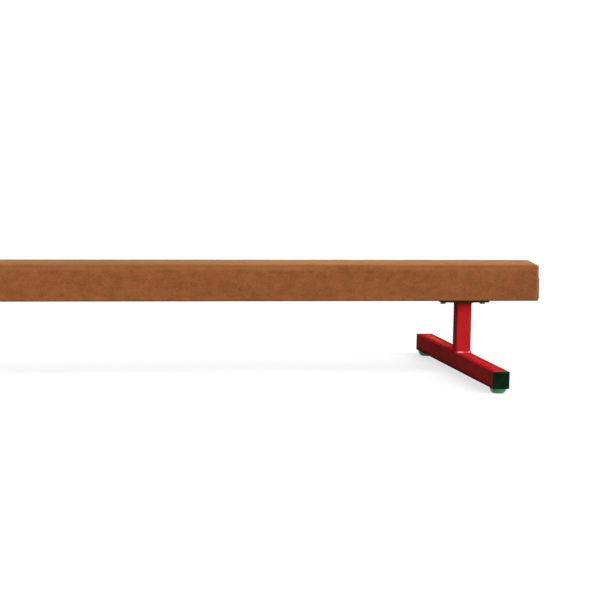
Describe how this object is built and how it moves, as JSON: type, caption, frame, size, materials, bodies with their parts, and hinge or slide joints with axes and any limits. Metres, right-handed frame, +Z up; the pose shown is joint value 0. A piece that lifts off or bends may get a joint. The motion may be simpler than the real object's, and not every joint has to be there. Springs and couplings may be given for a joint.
{
  "type": "low practice balance beam",
  "caption": "Low practice balance beam: padded suede-covered timber beam on bolted red steel T-legs with capped base tubes and rubber feet.",
  "frame": {"origin": "on the floor, under the middle of the beam", "axes": "+X along the beam, +Y across it to the rear, +Z up"},
  "size_m": [2.438, 0.8, 0.3],
  "materials": {
    "timber": "planed softwood",
    "foam": "closed-cell foam",
    "suede": "brushed tan suede",
    "black_steel": "satin black paint",
    "black_screws": "blackened steel",
    "brass_inserts": "turned brass",
    "red_paint": "gloss red powder coat",
    "cap_plastic": "green-black moulded plastic",
    "green_rubber": "glossy green rubber",
    "zinc_steel": "bright zinc plate",
    "green_zinc": "green passivated zinc plate"
  },
  "bodies": {
    "root": {"timber_core": "timber", "foam_pad": "foam", "suede_cover": "suede", "left_end_plate": "black_steel", "right_end_plate": "black_steel", "left_end_screws": "black_screws", "right_end_screws": "black_screws", "left_threaded_inserts": "brass_inserts", "right_threaded_inserts": "brass_inserts", "left_mounting_plate": "black_steel", "right_mounting_plate": "black_steel", "left_plate_weld": "black_steel", "right_plate_weld": "black_steel", "left_upright": "red_paint", "right_upright": "red_paint", "left_base_weld": "red_paint", "right_base_weld": "red_paint", "left_base_tube": "red_paint", "right_base_tube": "red_paint", "left_front_cap": "cap_plastic", "right_front_cap": "cap_plastic", "left_rear_cap": "cap_plastic", "right_rear_cap": "cap_plastic", "left_front_foot": "green_rubber", "right_front_foot": "green_rubber", "left_rear_foot": "green_rubber", "right_rear_foot": "green_rubber", "left_foot_studs": "zinc_steel", "right_foot_studs": "zinc_steel", "left_foot_nuts": "zinc_steel", "right_foot_nuts": "zinc_steel", "left_leg_bolts": "green_zinc", "right_leg_bolts": "green_zinc", "left_bolt_washers": "green_zinc", "right_bolt_washers": "green_zinc"}
  },
  "joints": []
}
